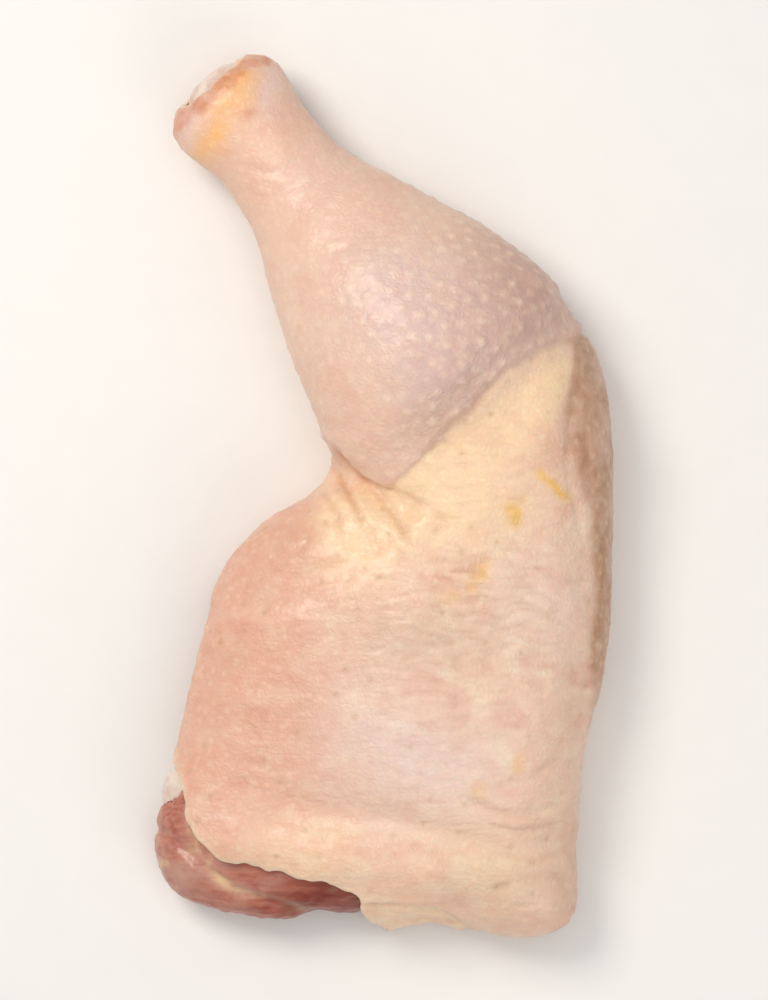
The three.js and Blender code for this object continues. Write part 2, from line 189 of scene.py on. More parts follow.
def planDistance(curve, x, y, closed=False):
    least = np.full(x.shape, np.inf)
    inside = np.zeros(x.shape, bool)
    for (ax, ay), (bx, by) in zip(curve[:-1], curve[1:]):
        dx, dy = bx - ax, by - ay
        t = np.clip(((x - ax) * dx + (y - ay) * dy) / max(dx * dx + dy * dy, 1e-9), 0, 1)
        least = np.minimum(least, np.hypot(x - ax - t * dx, y - ay - t * dy))
        if closed and ay != by:
            inside ^= ((ay > y) != (by > y)) & (x < ax + (y - ay) * dx / dy)
    return np.where(inside, -least, least)


def outlineDistance(outline, x, y):  # negative inside
    return planDistance(curveThrough(outline, closed=True, steps=6 * len(outline)), x, y, closed=True)


def nearLine(line, width, x, y):  # 1 on the line, fading to 0 over about its width
    return bell(planDistance(curveThrough(line, steps=16), x, y), 0, width)


randomTurns = np.random.default_rng(11)
noiseOrder = np.concatenate([randomTurns.permutation(256)] * 2)
noiseSlopes = randomTurns.normal(size=(256, 3))
noiseSlopes /= np.linalg.norm(noiseSlopes, axis=1)[:, None]
eightCorners = [(c & 1, (c >> 1) & 1, (c >> 2) & 1) for c in range(8)]


def smoothNoise(points, width, seed):
    # soft lumps from about -1 to 1, `width` millimetres across, a number or one for each axis
    place = points / np.array(width) + 37.3 * seed
    cell = np.floor(place).astype(np.int64)
    part = place - cell
    ease = part**3 * (part * (part * 6 - 15) + 10)
    total = np.zeros(len(points))
    for corner in eightCorners:
        step = np.array(corner)
        at = (cell + step) & 255
        slope = noiseSlopes[noiseOrder[noiseOrder[noiseOrder[at[:, 0]] + at[:, 1]] + at[:, 2]] & 255]
        weight = np.prod(np.where(step, ease, 1 - ease), axis=1)
        total += weight * np.einsum("ij,ij->i", part - step, slope)
    return 1.7 * total  # the highest lumps come near 1


def waves(rows, points):
    return sum(height * smoothNoise(points, width, seed) for height, width, seed in rows)


def planWaves(rows, grid):
    flat = np.stack([grid["x"].ravel(), grid["y"].ravel(), np.zeros(grid["x"].size)], axis=1)
    return waves(rows, flat).reshape(grid["x"].shape)


def gridOver(low, high, step):
    axes = [np.arange(a, b + step, step) for a, b in zip(low, high)]
    x, y = np.meshgrid(axes[0], axes[1], indexing="ij")
    z = axes[2][None, None, :].astype(np.float32)
    return {"low": np.array(low, float), "step": step, "x": x, "y": y, "z": z}


def sampled(field, grid, points):
    place = (points - grid["low"]) / grid["step"]
    cell = np.clip(np.floor(place).astype(int), 0, np.array(field.shape) - 2)
    part = place - cell
    total = np.zeros(len(points))
    for corner in eightCorners:
        step = np.array(corner)
        i, j, k = (cell + step).T
        total += field[i, j, k] * np.prod(np.where(step, part, 1 - part), axis=1)
    return total


def slopeOf(field, grid, points):
    reach = 0.5 * grid["step"]
    slope = np.empty_like(points)
    for axis in range(3):
        step = np.zeros(3)
        step[axis] = reach
        rise = sampled(field, grid, points + step) - sampled(field, grid, points - step)
        slope[:, axis] = rise / (2 * reach)
    return slope


def normalsOf(field, grid, points):
    normals = slopeOf(field, grid, points)
    return normals / np.maximum(np.linalg.norm(normals, axis=1), 1e-6)[:, None]


def largestOnly(points, faces):
    # the biggest connected part of a mesh, without the crumbs a ragged cut leaves
    label = np.arange(len(points))
    while True:
        least = label[faces].min(axis=1)
        after = label.copy()
        for k in range(faces.shape[1]):
            np.minimum.at(after, faces[:, k], least)
        after = after[after]
        if (after == label).all():
            break
        label = after
    names, counts = np.unique(label, return_counts=True)
    keep = label == names[counts.argmax()]
    place = np.cumsum(keep) - 1
    return points[keep], place[faces[keep[faces[:, 0]]]]


def surfaceNet(field, grid):
    # one point in each cell that the surface crosses, moved onto it, and a quad for each crossed edge
    inside = field < 0
    shape = np.array(field.shape) - 1
    held = np.zeros(shape, np.uint8)
    for a, b, c in eightCorners:
        held += inside[a : a + shape[0], b : b + shape[1], c : c + shape[2]]
    active = (held > 0) & (held < 8)
    cells = np.argwhere(active)
    indexOf = np.full(active.shape, -1, np.int32)
    indexOf[active] = np.arange(len(cells))
    value = np.stack([field[tuple((cells + c).T)] for c in eightCorners], axis=1)
    total = np.zeros((len(cells), 3))
    count = np.zeros(len(cells))
    for axis in range(3):
        for c, corner in enumerate(eightCorners):
            if corner[axis]:
                continue
            a, b = value[:, c], value[:, c | 1 << axis]
            crossed = (a < 0) != (b < 0)
            along = np.where(crossed, a / np.where(crossed, a - b, 1), 0)
            place = np.tile(np.array(corner, float), (len(cells), 1))
            place[:, axis] += along
            total += place * crossed[:, None]
            count += crossed
    points = (cells + total / count[:, None]) * grid["step"] + grid["low"]
    furthest = 0.3 * grid["step"]
    for _ in range(2):
        slope = slopeOf(field, grid, points)
        move = sampled(field, grid, points) / np.maximum((slope**2).sum(axis=1), 0.1)
        points -= slope * np.clip(move, -furthest, furthest)[:, None]
    quads = []
    rings = (  # the four cells round an edge along x, y and z
        ((0, 1, 1), (0, 0, 1), (0, 0, 0), (0, 1, 0)),
        ((1, 0, 1), (1, 0, 0), (0, 0, 0), (0, 0, 1)),
        ((1, 1, 0), (0, 1, 0), (0, 0, 0), (1, 0, 0)),
    )
    for axis, ring in enumerate(rings):
        first = [slice(1, -1)] * 3
        second = [slice(1, -1)] * 3
        first[axis] = slice(1, -2)
        second[axis] = slice(2, -1)
        here = inside[tuple(first)]
        edges = np.argwhere(here != inside[tuple(second)]) + 1
        quad = np.stack([indexOf[tuple((edges - back).T)] for back in ring], axis=1)
        out = inside[tuple(edges.T)]
        quads.append(np.where(out[:, None], quad, quad[:, ::-1]))
    return largestOnly(points, np.concatenate(quads))


hiddenTaken = 0.82  # the share of the hidden faces that goes


def pieceFrom(name, points, faces, masks, hidden):
    # a smooth mesh with its masks, and far fewer faces where nobody sees it
    mesh = bpy.data.meshes.new(name)
    mesh.vertices.add(len(points))
    mesh.vertices.foreach_set("co", (points * mm).astype(np.float32).ravel())
    mesh.loops.add(faces.size)
    mesh.loops.foreach_set("vertex_index", faces.astype(np.int32).ravel())
    mesh.polygons.add(len(faces))
    mesh.polygons.foreach_set("loop_start", np.arange(0, faces.size, faces.shape[1], dtype=np.int32))
    mesh.update(calc_edges=True)
    for key, values in masks.items():
        share = np.clip(values, 0, 1).astype(np.float32)
        mesh.attributes.new(key, "FLOAT", "POINT").data.foreach_set("value", share)
    piece = bpy.data.objects.new(name, mesh)
    scene.collection.objects.link(piece)
    group = piece.vertex_groups.new(name="hidden")
    group.add(np.flatnonzero(hidden).tolist(), 1.0, "REPLACE")
    decimate = piece.modifiers.new("fewerFaces", "DECIMATE")
    decimate.ratio = 1 - hiddenTaken * hidden.mean()
    decimate.vertex_group = group.name
    decimate.vertex_group_factor = 10
    made = bpy.data.meshes.new_from_object(piece.evaluated_get(bpy.context.evaluated_depsgraph_get()))
    for vertex in made.vertices:
        vertex.co.z = max(vertex.co.z, 0)
    piece.modifiers.clear()
    piece.vertex_groups.clear()
    piece.data = made
    piece.data.shade_smooth()
    piece.data.calc_loop_triangles()
    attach(piece, "root")
    print(name + ":", len(piece.data.loop_triangles), "triangles")
    return piece


# The leg's own sizes, as in its solids, but for a slightly fuller lower edge and a softer crease
drumstick = {
    "hock": (-36, 99),
    "direction": (0.628, -0.778),
    "capStart": 85,
    "capLength": 12,
    "hockEnd": 2,
    "hockLength": 10,
    "hockLean": 10,  # degrees
    "stations": [  # distance from the hock, half width, half height, height of the axis
        (-6, 15.4, 12.2, 14.4), (3, 15.6, 12.6, 14.4), (15, 13.8, 12.0, 14.6), (28, 14.8, 12.8, 15.6),
        (42, 20.2, 16.4, 17.8), (58, 26.8, 20.6, 20.6), (74, 31.6, 23.2, 22.6), (88, 33.8, 23.0, 22.4),
        (110, 33.8, 22.4, 22.0),
    ],
}
thigh = {
    "outline": [
        (-5, 13), (-15, 3), (-26, -4), (-37, -17), (-43, -38), (-48, -58), (-56, -80), (-51, -96),
        (-30, -103.5), (-6, -103.5), (18, -102), (36, -106), (48, -102), (50, -80), (52, -60), (57, -42),
        (58.5, -12), (58, 18), (52, 40), (12, 46),
    ],
    "edgeRound": 17,
    "edgeTighter": 0.35,  # for each millimetre further in
    "edgeTop": 22,
    "dome": (14, -34, 15, 46, 62),  # x, y, rise and reach each way
    "kneeRise": (42, 24, 8, 26),  # x, y, rise and reach
    "sag": 2.0,
    "inset": 3.0,  # of the flesh from the skin's outside
    "flap": (40, -92, 26, 11),  # x, y and reach of the flap of skin, and how much deeper its flesh ends
    "bareCorner": (-14, -66, 16, 14, 1.2),  # x, y and reach each way of the bare corner, and its inset
}
leg = {
    "low": (-60, -112, -2.6),  # the box that is meshed
    "high": (60, 112, 50),
    "skinThickness": 2.3,
    "crease": 16.0,  # how softly calf and thigh meet
    "fleshCrease": 20,
    "foldFade": (8, 12),  # folds begin this far up, and are full this much higher
    "grooveFade": (7, 6),  # grooves are full up to here, and end this much higher
    "folds": [  # line, half width, depth
        ([(-18, 6), (-9, 7.5), (0, 3), (7, -1)], 4.0, 3.6),
        ([(3, 4), (18, 14.5), (36, 28), (50, 40)], 3.4, 0.3),
        ([(49, 27), (47.5, 12), (50, -4), (52.5, -22), (50, -50)], 4.0, 0.6),
        ([(54, 24), (55, -4), (54, -36)], 4.2, -0.4),
        ([(-34, -82), (-12, -86), (14, -90)], 5.2, -2.0),
        ([(-20, -73), (6, -77), (32, -83), (44, -82)], 4.4, 1.8),
        ([(-30, -22), (-16, -19), (0, -9)], 5.0, 1.4),
    ],
    "grooves": [  # between the muscles of the underside: line, half width, depth
        ([(-44, -42), (-20, -36), (8, -24), (30, -8)], 5.5, 4.4),
        ([(-52, -70), (-26, -62), (6, -50), (36, -44)], 5.5, 5.0),
        ([(-36, -97), (-12, -86), (14, -77), (38, -76)], 5.5, 4.0),
    ],
    "bareOutline": [  # where the underside has no skin
        (-24, -18), (-70, -24), (-76, -70), (-72, -118), (-30, -116), (2, -88),
        (26, -90), (36, -76), (40, -48), (42, -14), (28, -2), (4, -8),
    ],
}


def alongAcross(x, y):
    ux, uy = drumstick["direction"]
    dx = x - planShift[0] - drumstick["hock"][0]
    dy = y - planShift[1] - drumstick["hock"][1]
    return dx * ux + dy * uy, dx * uy - dy * ux


def stationsAt(along):
    table = np.array(drumstick["stations"], float)
    i = np.clip(np.searchsorted(table[:, 0], along), 1, len(table) - 1)
    low, high = table[i - 1], table[i]
    before, after = table[np.maximum(0, i - 2)], table[np.minimum(len(table) - 1, i + 1)]
    span = (high[..., 0] - low[..., 0])[..., None]
    t = np.clip((along[..., None] - low[..., :1]) / span, 0, 1)
    slopeLow = (high - before)[..., 1:] / (high - before)[..., :1] * span
    slopeHigh = (after - low)[..., 1:] / (after - low)[..., :1] * span
    ease = 3 * t**2 - 2 * t**3
    value = (1 - ease) * low[..., 1:] + ease * high[..., 1:]
    value += (t**3 - 2 * t**2 + t) * slopeLow + (t**3 - t**2) * slopeHigh
    return value[..., 0], value[..., 1], value[..., 2]


def ellipsoidDistance(flatShare, flatSteep, rise, halfRise):
    # the plan's shares are given once for a whole column of heights
    near = np.sqrt(flatShare[..., None] + (rise / halfRise) ** 2)
    far = np.sqrt(flatSteep[..., None] + (rise / halfRise**2) ** 2)
    return near * (near - 1) / np.maximum(far, 1e-6)


def drumstickDistance(grid):
    along, across = alongAcross(grid["x"], grid["y"])
    halfWidth, halfHeight, axisZ = stationsAt(along)
    onLeg = along > drumstick["hockEnd"]
    past = np.where(onLeg, np.maximum(0, along - drumstick["capStart"]), drumstick["hockEnd"] - along)
    cap = np.where(onLeg, drumstick["capLength"], drumstick["hockLength"])
    share = (across / halfWidth) ** 2 + (past / cap) ** 2
    steep = (across / halfWidth**2) ** 2 + (past / cap**2) ** 2
    return ellipsoidDistance(
        share.astype(np.float32), steep.astype(np.float32),
        grid["z"] - axisZ[..., None].astype(np.float32), halfHeight[..., None].astype(np.float32),
    )


def thighTop(px, py):
    x, y, rise, reachX, reachY = thigh["dome"]
    top = thigh["edgeTop"] + rise * hill(px, py, x, y, reachX, reachY)
    x, y, rise, reach = thigh["kneeRise"]
    return top + rise * hill(px, py, x, y, reach, reach)


def thighDistance(grid, edge, inset, topInset):
    px, py = grid["x"] - planShift[0], grid["y"] - planShift[1]
    half = (thighTop(px, py) - topInset + thigh["sag"]) / 2
    edgeRound = thigh["edgeRound"] - thigh["edgeTighter"] * inset
    outward = np.maximum(0, edge + inset + edgeRound)
    share = (outward / edgeRound) ** 2
    steep = (outward / edgeRound**2) ** 2
    return ellipsoidDistance(
        share.astype(np.float32), steep.astype(np.float32),
        grid["z"] - (half - thigh["sag"])[..., None].astype(np.float32), half[..., None].astype(np.float32),
    )


def pressed(grid, lines):
    depthAt = np.zeros(grid["x"].shape)
    for line, width, depth in lines:
        depthAt += depth * nearLine(line, width, grid["x"], grid["y"])
    return depthAt[..., None].astype(np.float32)


def legFields(grid):
    # distance to the leg's outside, and to its flesh under the skin
    px, py = grid["x"] - planShift[0], grid["y"] - planShift[1]
    edge = outlineDistance(thigh["outline"], grid["x"], grid["y"])
    calf = drumstickDistance(grid)
    folds = ramp(grid["z"], *leg["foldFade"]) * pressed(grid, leg["folds"])
    outer = softMin(calf, thighDistance(grid, edge, 0, 0), leg["crease"]) + folds
    x, y, reach, deeper = thigh["flap"]
    underSkin = thigh["inset"] + deeper * hill(px, py, x, y, reach, reach)
    x, y, reachX, reachY, bareInset = thigh["bareCorner"]
    bare = easeStep((x - px) / reachX) * easeStep((y - py) / reachY)
    inset = underSkin * (1 - bare) + bareInset * bare
    thickness = leg["skinThickness"]
    body = thighDistance(grid, edge, inset, thickness)
    flesh = np.maximum(softMin(calf + thickness, body, leg["fleshCrease"]), outer + thickness)
    grooves = (1 - ramp(grid["z"], *leg["grooveFade"])) * pressed(grid, leg["grooves"])
    return outer, flesh + grooves


def hockField(grid, cut):
    # positive on the leg's side of the hock's cut, which leans back
    along, _ = alongAcross(grid["x"], grid["y"])
    lean = math.radians(drumstick["hockLean"])
    height = grid["z"] - drumstick["stations"][0][3]
    return (along - cut)[..., None] * math.cos(lean) - height * math.sin(lean)


# The skin: a sleeve torn at the hock and cut at the thigh, open under the thigh. Here and below, a wave is
# a row of its height, its width and its seed, and a pair is where something starts and how soon it is full.
skin = {
    "grid": 0.76,
    "gap": 0.4,  # to the flesh
    "innerRound": 0.5,
    "rimRound": 0.8,
    "tableRound": 2.4,
    "bareTop": 13.5,  # how far up the side the bare underside reaches
    "bareRound": 9.0,
    "bareWaves": [(1.6, 13, 34)],
    "ragged": [(1.7, 9, 3), (0.6, 2.8, 4)],
    "raggedShare": {"shelf": 0.4, "underside": 0.7, "hock": 0.8},  # less ragged there
    "hockCut": -5.5,
    "cutLine": [
        (-60, -52), (-47, -64), (-44, -79), (-38, -86), (-28, -88), (-18, -90.5), (-7, -92), (-2, -96),
        (-1.5, -101), (3, -106), (8, -116),
    ],
    "cutLean": 0.12,  # how far the cut leans in under the fat for each millimetre down
    "cutLeanFrom": (-12, 6),  # in x
    "ledge": [  # below this line the skin has drawn back from its fat
        (-10, -96.8), (-3, -97.3), (6, -97.7), (13.5, -98.8), (19, -101.2), (24, -104.6),
        (24, -118), (-12, -118),
    ],
    "shelf": {  # the fat that shows there: a slab that slopes down outwards
        "outline": [
            (-10, -92), (6, -93), (20, -96), (28, -102), (22, -104.8), (13, -103.6), (4, -105),
            (-10, -103.2),
        ],
        "top": 14.4,
        "slope": 0.5,
        "from": -98,
        "waves": [(0.6, 5, 37)],
        "foot": 2.5,
        "round": 4.4,
        "join": 1.2,
    },
    "lobe": [  # the calf's own skin ends in this pointed lobe over the thigh's
        (-11, 15), (-6, 9.5), (-2, 6), (2, 3.5), (5, 4.5), (9, 8), (14, 13.5), (19, 18.5), (24, 23),
        (27, 27), (31, 31), (37, 35), (45, 39), (56, 44),
    ],
    "roundCalf": [(70, 46), (70, 125), (-75, 125), (-75, 60), (-30, 30)],  # back to the lobe's start
    "marginSoft": 1.8,  # how gently the calf's skin gives way to the thigh's
    "marginWaves": [(0.45, 4, 25)],
    "outsideDepth": 1.1,  # what lies deeper is an inner side or a cut
    "facingTable": (0.55, 0.3),  # how much it faces down where it lies on the table, and how low that is
    "atTable": (2.2, -1),
    "hidden": {"deeper": -1.2, "lower": 2.5, "facing": -0.7},  # where it gets fewer faces
}


def skinDistance(grid, outer, flesh):
    x, y, z = grid["x"], grid["y"], grid["z"]
    ragged = planWaves(skin["ragged"], grid)
    share = skin["raggedShare"]
    hollow = np.maximum(flesh - skin["gap"], leg["skinThickness"] - skin["gap"] - z)
    fat = skin["shelf"]
    side = outlineDistance(fat["outline"], x, y) + share["shelf"] * ragged
    top = fat["top"] + fat["slope"] * (y - planShift[1] - fat["from"]) + planWaves(fat["waves"], grid)
    shelf = softMax(side[..., None], z - top[..., None], fat["round"])
    outer = softMin(outer, softMax(shelf, fat["foot"] - z, fat["round"]), fat["join"])
    edge = (outlineDistance(leg["bareOutline"], x, y) + ragged).astype(np.float32)
    bareTop = skin["bareTop"] + planWaves(skin["bareWaves"], grid) + share["underside"] * ragged
    bareBlock = softMax(edge[..., None], z - bareTop[..., None], skin["bareRound"])
    rim = curveThrough(skin["cutLine"], steps=40)
    corner = [[rim[0][0] - 80, rim[-1][1] - 80]]  # well beyond the leg
    cut = planDistance(np.concatenate([rim, corner, rim[:1]]), x, y, closed=True) + ragged
    lean = skin["cutLean"] * ramp(x - planShift[0], *skin["cutLeanFrom"])
    cut = (cut[..., None] + lean[..., None] * (z - fat["top"] + 1)).astype(np.float32)
    hockTear = hockField(grid, skin["hockCut"]) + ragged[..., None] * share["hock"]
    field = softMax(outer, -hollow, skin["innerRound"])
    for taken in (bareBlock, cut, hockTear):
        field = softMax(field, -taken, skin["rimRound"])
    return softMax(field, -z, skin["tableRound"]).astype(np.float32), cut


grid = gridOver(leg["low"], leg["high"], skin["grid"])
outer, flesh = legFields(grid)
print("leg: distances on", outer.shape)
skinField, fromCut = skinDistance(grid, outer, flesh)
points, faces = surfaceNet(skinField, grid)
print("skin:", len(points), "points")
normals = normalsOf(skinField, grid, points)
depth = sampled(outer, grid, points)
outside = easeStep(1 + depth / skin["outsideDepth"])  # 1 on the outside, 0 on the inner side and in the cuts
pressedFlat = ramp(-normals[:, 2], *skin["facingTable"]) * ramp(points[:, 2], *skin["atTable"])
outside = np.maximum(outside, pressedFlat)  # and 1 where the leg lies on the table
x, y, z = points.T
px, py = x - planShift[0], y - planShift[1]
along, _ = alongAcross(x, y)
lobe = curveThrough(skin["lobe"], steps=90)
roundCalf = np.array(skin["roundCalf"]) + planShift
beyondLobe = planDistance(np.concatenate([lobe, roundCalf, lobe[:1]]), x, y, closed=True)
fromMargin = planDistance(lobe, x, y)
thighShare = easeStep(0.5 + beyondLobe / skin["marginSoft"] + waves(skin["marginWaves"], points))
calfShare = 1 - thighShare


def scatteredOver(places, apart, seed):
    # a random choice of the places in which no two are closer than `apart`
    order = np.random.default_rng(seed).permutation(len(places))
    taken = {}
    chosen = []
    for i in order:
        x, y, z = places[i]
        cell = (int(x // apart), int(y // apart), int(z // apart))
        near = (
            taken.get((cell[0] + a, cell[1] + b, cell[2] + c))
            for a in (-1, 0, 1) for b in (-1, 0, 1) for c in (-1, 0, 1)
        )
        if all(q is None or math.dist(q, (x, y, z)) >= apart for q in near):
            taken[cell] = (x, y, z)
            chosen.append((x, y, z))
    return chosen


def distanceTo(places):
    nearest = KDTree(len(places))
    for i, place in enumerate(places):
        nearest.insert(place, i)
    nearest.balance()
    return np.array([nearest.find(p)[2] for p in points])


# What stands up on the skin and what sinks in, in millimetres
relief = {
    "deepest": -1.25,
    "clearOfTable": 6,  # the skin is smooth at the table, and fully carved from this height
    "swells": [(0.60, 26, 1), (0.34, 12, 2), (0.14, 5, 8)],
    "calfGrain": [(0.07, 2.4, 21)],
    "wrinkleBend": [(1.5, 12, 6)],
    "wrinkleHeight": 0.38,
    "wrinkleSink": 0.6,  # the share of it by which the skin between them sinks
    "wrinkles": [(1.0, (10, 2.4, 6), 7)],  # they run crosswise
    "fineWrinkles": [(0.34, (6, 1.7, 3), 19)],
    "loose": 0.25,  # the thigh's skin all over
    "loosest": (0.85, 26, -24, 24, 26),  # how much looser it is at x and y, and the reach each way
    "follicles": {
        "apart": 3.6, "seed": 5, "height": 0.08, "plumpHeight": 0.24,
        "dip": (0.4, 1.9, 0.7),  # round each: share of its height, distance and half width
        "usual": 0.7, "vary": [(0.5, 7, 20)], "limits": (0.1, 1.3),
        "plumpAlong": (30, 26), "plumpSide": (-6, 24),
    },
    "pores": {"apart": 6.5, "seed": 6, "depth": 0.2, "width": 0.75, "usual": 0.5, "vary": [(1.0, 9, 35)]},
    "margin": {"dip": 0.5, "dipWidth": 1.3, "roll": 0.45, "rollAt": 1.6, "rollWidth": 1.4},  # of the lobe
    "lobeTip": (0.5, 1, 9, 8, 6),  # height, x, y and reach each way
    "ledge": {
        "edge": [(0.4, 5, 31)], "soft": 0.9, "up": (4, 4),
        "depth": 0.8, "lumps": [(0.5, 3, 32), (0.8, 5.5, 40)],
    },
    "torn": (3, -3),  # along the leg, at the hock
    "tornWaves": [(0.5, 3.2, 29)],
    "creaseUp": (6, 6),
    "creaseMost": 1.1,
    "creaseUsual": 0.75,
    "creaseTaper": 5,  # how far from its ends a crease is full
    "creaseVary": [(0.3, 5, 22)],
    "creases": [  # line, half width, depth
        ([(-11, 14), (-6, 9), (-2, 5.5), (2, 2), (6, -3.5), (9, -9)], 0.9, 1.1),
        ([(-10, 9), (-5, 2), (-2, -7)], 0.8, 0.7),
        ([(-13, 5), (-9, -3), (-8, -11)], 0.9, 0.55),
        ([(-4, 6), (5, 3), (12, 0), (20, -6)], 0.8, 0.7),
        ([(-17, 3), (-15, -5), (-18, -12)], 1.0, 0.4),
        ([(-7, 3), (-2, -4), (2, -14)], 0.8, 0.4),
        ([(20, -70), (34, -75), (47, -72)], 1.2, 0.8),
        ([(26, -77), (37, -79), (48, -76)], 1.0, 0.6),
        ([(28, -94), (40, -90), (49, -92)], 1.3, 0.9),
        ([(46, -60), (38, -66), (28, -68)], 1.1, 0.6),
        ([(30, -84), (40, -86), (50, -83)], 0.9, 0.5),
        ([(-34, -60), (-26, -64), (-18, -64)], 1.0, 0.4),
        ([(49, 28), (47.5, 18), (47, 8), (49.5, -3), (52, -12)], 0.9, 0.3),
        ([(52, -20), (53, -34), (51, -50)], 0.8, 0.3),
        ([(51.5, 20), (52.5, 6), (53.5, -4)], 0.8, 0.4),
        ([(-31, 82), (-24, 80), (-17, 84)], 1.0, 0.5),
        ([(-33, 77), (-26, 74), (-17, 78)], 1.0, 0.4),
        ([(-13, 60), (-6, 62), (0, 68)], 1.2, 0.4),
        ([(-3, -97.2), (6, -97.6), (13.5, -98.7), (19, -101), (24, -104.4)], 0.8, 1.0),
    ],
}
follicles, pores, margin = relief["follicles"], relief["pores"], relief["margin"]
wellOut = outside > 0.9
fromFollicle = distanceTo(scatteredOver(points[wellOut], follicles["apart"], follicles["seed"]))
fromPore = distanceTo(scatteredOver(points[wellOut & (thighShare > 0.9)], pores["apart"], pores["seed"]))
plump = 0.5 + 0.5 * ramp(px, *follicles["plumpSide"])
plump = calfShare * ramp(along, *follicles["plumpAlong"]) * plump
bumpSize = follicles["usual"] + waves(follicles["vary"], points)
follicleHeight = follicles["height"] + follicles["plumpHeight"] * plump
follicleHeight *= np.clip(bumpSize, *follicles["limits"])
dipShare, dipAt, dipWidth = follicles["dip"]
tipHeight, *tipPlace = relief["lobeTip"]
follicle = bell(fromFollicle, 0, 1)
poreSize = np.clip(pores["usual"] + waves(pores["vary"], points), 0, 1)
pore = thighShare * bell(fromPore, 0, pores["width"]) * poreSize
warped = points + waves(relief["wrinkleBend"], points)[:, None]
looser, *loosestPlace = relief["loosest"]
looseness = thighShare * (relief["loose"] + looser * hill(px, py, *loosestPlace))
wrinkles = np.abs(waves(relief["wrinkles"], warped)) * 2 - relief["wrinkleSink"]
wrinkles = relief["wrinkleHeight"] * wrinkles
wrinkles = looseness * (wrinkles + waves(relief["fineWrinkles"], warped))
ledge = outlineDistance(skin["ledge"], x, y) + waves(relief["ledge"]["edge"], points)
ledge = easeStep(0.5 - ledge / relief["ledge"]["soft"]) * ramp(z, *relief["ledge"]["up"])
carved = np.zeros(len(points))
for line, width, amount in relief["creases"]:
    ends = np.array([line[0], line[-1]]) + planShift
    toEnd = np.min([np.hypot(x - endX, y - endY) for endX, endY in ends], axis=0)
    carved += amount * nearLine(line, width, x, y) * easeStep(0.2 + toEnd / relief["creaseTaper"])
creaseDepth = np.minimum(carved, relief["creaseMost"])
creaseDepth *= relief["creaseUsual"] + waves(relief["creaseVary"], points)
lift = (
    waves(relief["swells"], points)
    + wrinkles
    + calfShare * waves(relief["calfGrain"], points)
    + follicleHeight * (follicle - dipShare * bell(fromFollicle, dipAt, dipWidth))
    - pores["depth"] * pore
    - creaseDepth * ramp(z, *relief["creaseUp"])
    - margin["dip"] * thighShare * bell(fromMargin, 0, margin["dipWidth"])
    + margin["roll"] * calfShare * bell(fromMargin, margin["rollAt"], margin["rollWidth"])
    + tipHeight * calfShare * hill(px, py, *tipPlace)
    - ledge * (relief["ledge"]["depth"] + waves(relief["ledge"]["lumps"], points))
    + ramp(along, *relief["torn"]) * waves(relief["tornWaves"], points)
)
lift = np.maximum(lift, relief["deepest"]) * outside * easeStep(z / relief["clearOfTable"])
points = points + normals * lift[:, None]
z = points[:, 2]

